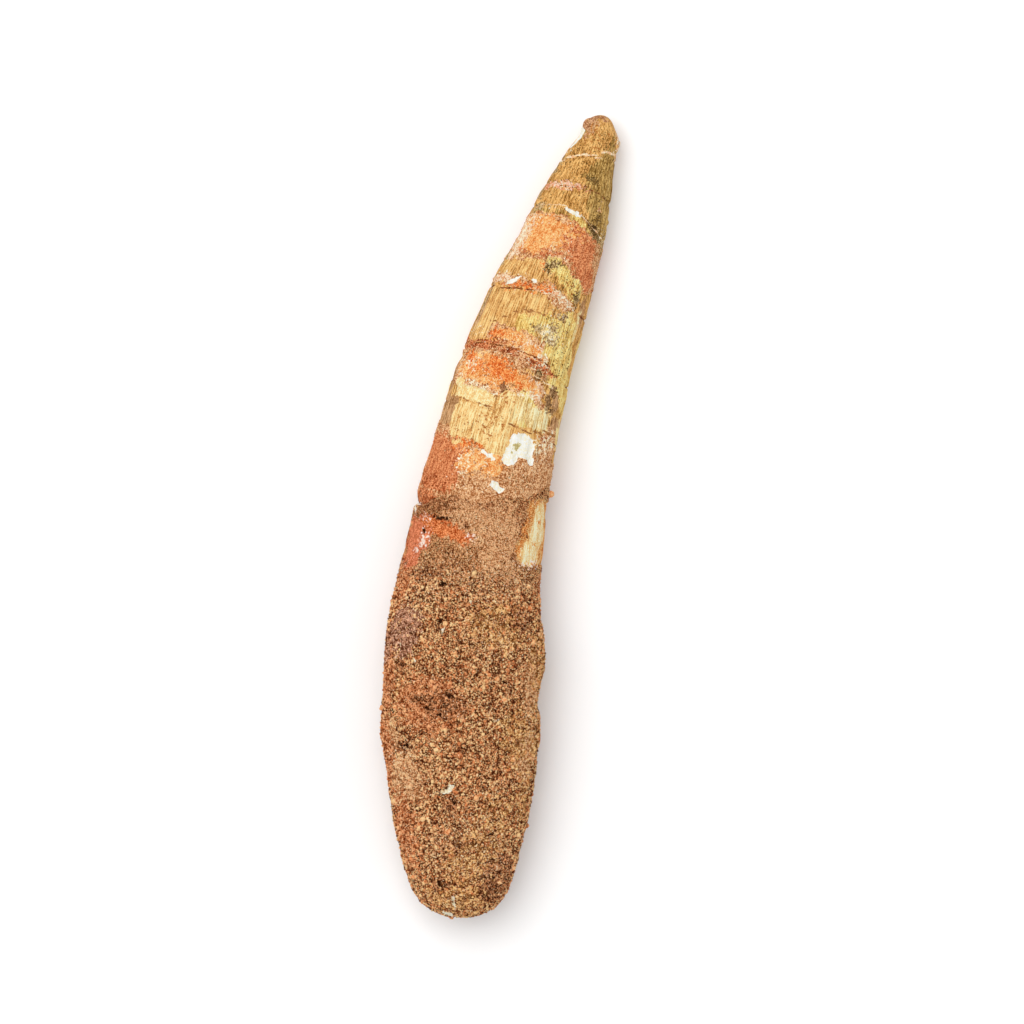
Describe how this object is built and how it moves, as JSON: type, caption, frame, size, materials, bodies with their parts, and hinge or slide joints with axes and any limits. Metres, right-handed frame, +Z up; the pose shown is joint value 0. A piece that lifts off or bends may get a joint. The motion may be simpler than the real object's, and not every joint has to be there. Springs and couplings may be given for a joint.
{
  "type": "fossil spinosaurus tooth",
  "caption": "Fossil dinosaur tooth lying on its side: a long, slightly curved, fluted and cracked conical crown on a thick root crusted with coarse sandstone.",
  "frame": {"origin": "under the middle of the tooth's bounding box, on the surface that it rests on", "axes": "+Y towards the crown's tip, +X towards the side that the tip leans to, +Z up from the surface"},
  "size_m": [0.0478, 0.1609, 0.0267],
  "materials": {
    "fossil": "fossil dentine and enamel, amber to tan and fluted on the crown, under a rust-brown crust of coarse sand grains on the root"
  },
  "bodies": {
    "root": {"tooth": "fossil"}
  },
  "joints": []
}
